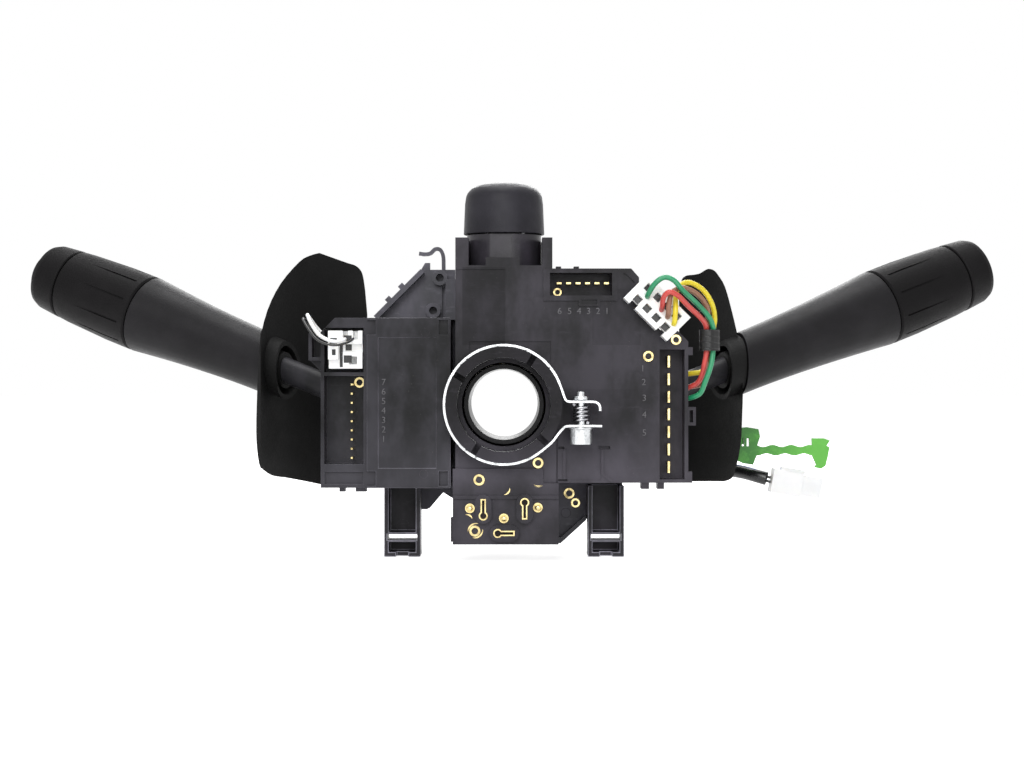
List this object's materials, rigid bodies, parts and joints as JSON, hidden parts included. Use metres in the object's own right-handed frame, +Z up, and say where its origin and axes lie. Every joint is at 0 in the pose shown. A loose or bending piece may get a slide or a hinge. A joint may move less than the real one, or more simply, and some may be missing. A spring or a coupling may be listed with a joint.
{
  "type": "combination stalk switch",
  "caption": "Steering column switch unit: wiper and light stalks on rocking carriers, hazard button, clock spring, slotted clamp collar and rear connectors.",
  "frame": {"origin": "on the steering shaft's axis in the plane of the rear face, where the column tube seats", "axes": "-Y towards the steering column, +Y towards the driver, +Z up, +X towards the driver's left (light stalk)"},
  "size_m": [0.401, 0.1157, 0.1461],
  "materials": {
    "housing_black": "moulded, satin",
    "case_black": "moulded, satin",
    "frame_grey": "moulded, matte",
    "rotor_black": "moulded, satin",
    "stalk_black": "fine grained, satin",
    "flap_black": "fine grained, matte",
    "button_black": "fine grained, satin",
    "lever_black": "glass filled, matte",
    "natural_plastic": "natural, satin",
    "board_brown": "laminate, satin",
    "zinc_steel": "zinc plated",
    "spring_steel": "oiled",
    "brass": "bright",
    "ribbon": "film, satin",
    "white_plastic": "moulded, satin",
    "dark_rubber": "matte",
    "wire_yellow": "satin",
    "wire_brown": "satin",
    "wire_green": "satin",
    "wire_red": "satin",
    "strap_green": "satin"
  },
  "bodies": {
    "column_unit": {"main_housing": "housing_black", "clamp_band": "zinc_steel", "clamp_screw": "zinc_steel", "clamp_spring": "spring_steel", "wiper_case": "case_black", "wiper_case_cover": "case_black", "wiper_connector_pins": "brass", "light_connector_blades": "brass", "top_connector_pins": "brass", "wiper_contact_plate": "board_brown", "light_contact_plate": "board_brown", "wiper_bearing_plate": "natural_plastic", "light_bearing_plate": "natural_plastic", "wiper_carrier_cover": "case_black", "light_carrier_cover": "case_black", "terminal_plate": "housing_black", "keyhole_terminals": "brass", "brass_eyelets": "brass", "support_frame": "frame_grey", "clip_legs": "frame_grey", "case_screws": "zinc_steel", "hazard_barrel": "button_black", "hazard_switch_block": "case_black", "hazard_spring": "spring_steel", "clock_spring_stator": "housing_black", "clock_spring_ribbon": "ribbon", "clock_spring_ring": "housing_black", "wiper_plug": "white_plastic", "white_lead": "white_plastic", "dark_lead": "dark_rubber", "loom_plug": "white_plastic", "yellow_wire": "wire_yellow", "brown_wire": "wire_brown", "green_wire": "wire_green", "red_wire": "wire_red", "tape_sleeve": "dark_rubber", "green_strap": "strap_green", "conduit": "dark_rubber", "conduit_plug": "white_plastic"},
    "rotor": {"clock_spring_rotor": "rotor_black", "cancel_cam": "natural_plastic"},
    "pawl": {"cancel_pawl": "natural_plastic"},
    "hazard_key": {"hazard_button": "button_black"},
    "wiper_rocker": {"wiper_carrier": "natural_plastic"},
    "wiper_arm": {"wiper_lever": "lever_black", "wiper_detent_plunger": "natural_plastic", "wiper_flap": "flap_black", "wiper_tube": "stalk_black", "wiper_spindle": "lever_black", "wiper_end_cap": "stalk_black"},
    "wiper_ring": {"wiper_grip": "stalk_black"},
    "wiper_button": {"wiper_end_button": "stalk_black"},
    "light_rocker": {"light_carrier": "natural_plastic"},
    "light_arm": {"light_lever": "lever_black", "light_detent_plunger": "natural_plastic", "light_flap": "flap_black", "light_tube": "stalk_black", "light_spindle": "lever_black", "light_end_cap": "stalk_black"},
    "light_ring": {"light_grip": "stalk_black"}
  },
  "joints": [
    {"name": "rotor_turn", "type": "hinge", "parent": "column_unit", "child": "rotor", "pos_m": [0, 0.05, 0], "axis": [0, 1, 0], "range_deg": [-900, 900]},
    {"name": "pawl_slide", "type": "slide", "parent": "column_unit", "child": "pawl", "axis": [-1, 0, 0], "range_m": [0, 0.0018], "stiffness_N_per_m": 150, "springref_m": -0.001},
    {"name": "hazard_press", "type": "slide", "parent": "column_unit", "child": "hazard_key", "axis": [0, 0, -1], "range_m": [0, 0.0038], "stiffness_N_per_m": 700, "springref_m": -0.003, "deforming": ["hazard_spring"]},
    {"name": "wiper_swing", "type": "hinge", "parent": "column_unit", "child": "wiper_rocker", "pos_m": [-0.045, 0.024, -0.003], "axis": [0, -1, 0], "range_deg": [-6, 15]},
    {"name": "wiper_pull", "type": "hinge", "parent": "wiper_rocker", "child": "wiper_arm", "pos_m": [-0.045, 0.024, -0.003], "axis": [0, 0, -1], "range_deg": [-5, 5], "stiffness_Nm_per_rad": 4},
    {"name": "wiper_ring_turn", "type": "hinge", "parent": "wiper_arm", "child": "wiper_ring", "pos_m": [-0.045, 0.024, -0.003], "axis": [-0.8735, 0.3512, 0.3371], "range_deg": [-30, 30]},
    {"name": "wiper_button_press", "type": "slide", "parent": "wiper_arm", "child": "wiper_button", "axis": [0.8735, -0.3512, -0.3371], "range_m": [0, 0.0015], "stiffness_N_per_m": 900, "springref_m": -0.001},
    {"name": "light_swing", "type": "hinge", "parent": "column_unit", "child": "light_rocker", "pos_m": [0.045, 0.024, -0.003], "axis": [0, 1, 0], "range_deg": [-8, 8]},
    {"name": "light_pull", "type": "hinge", "parent": "light_rocker", "child": "light_arm", "pos_m": [0.045, 0.024, -0.003], "axis": [0, 0, 1], "range_deg": [-5, 5], "stiffness_Nm_per_rad": 4},
    {"name": "light_ring_turn", "type": "hinge", "parent": "light_arm", "child": "light_ring", "pos_m": [0.045, 0.024, -0.003], "axis": [0.8735, 0.3512, 0.3371], "range_deg": [0, 60]}
  ]
}
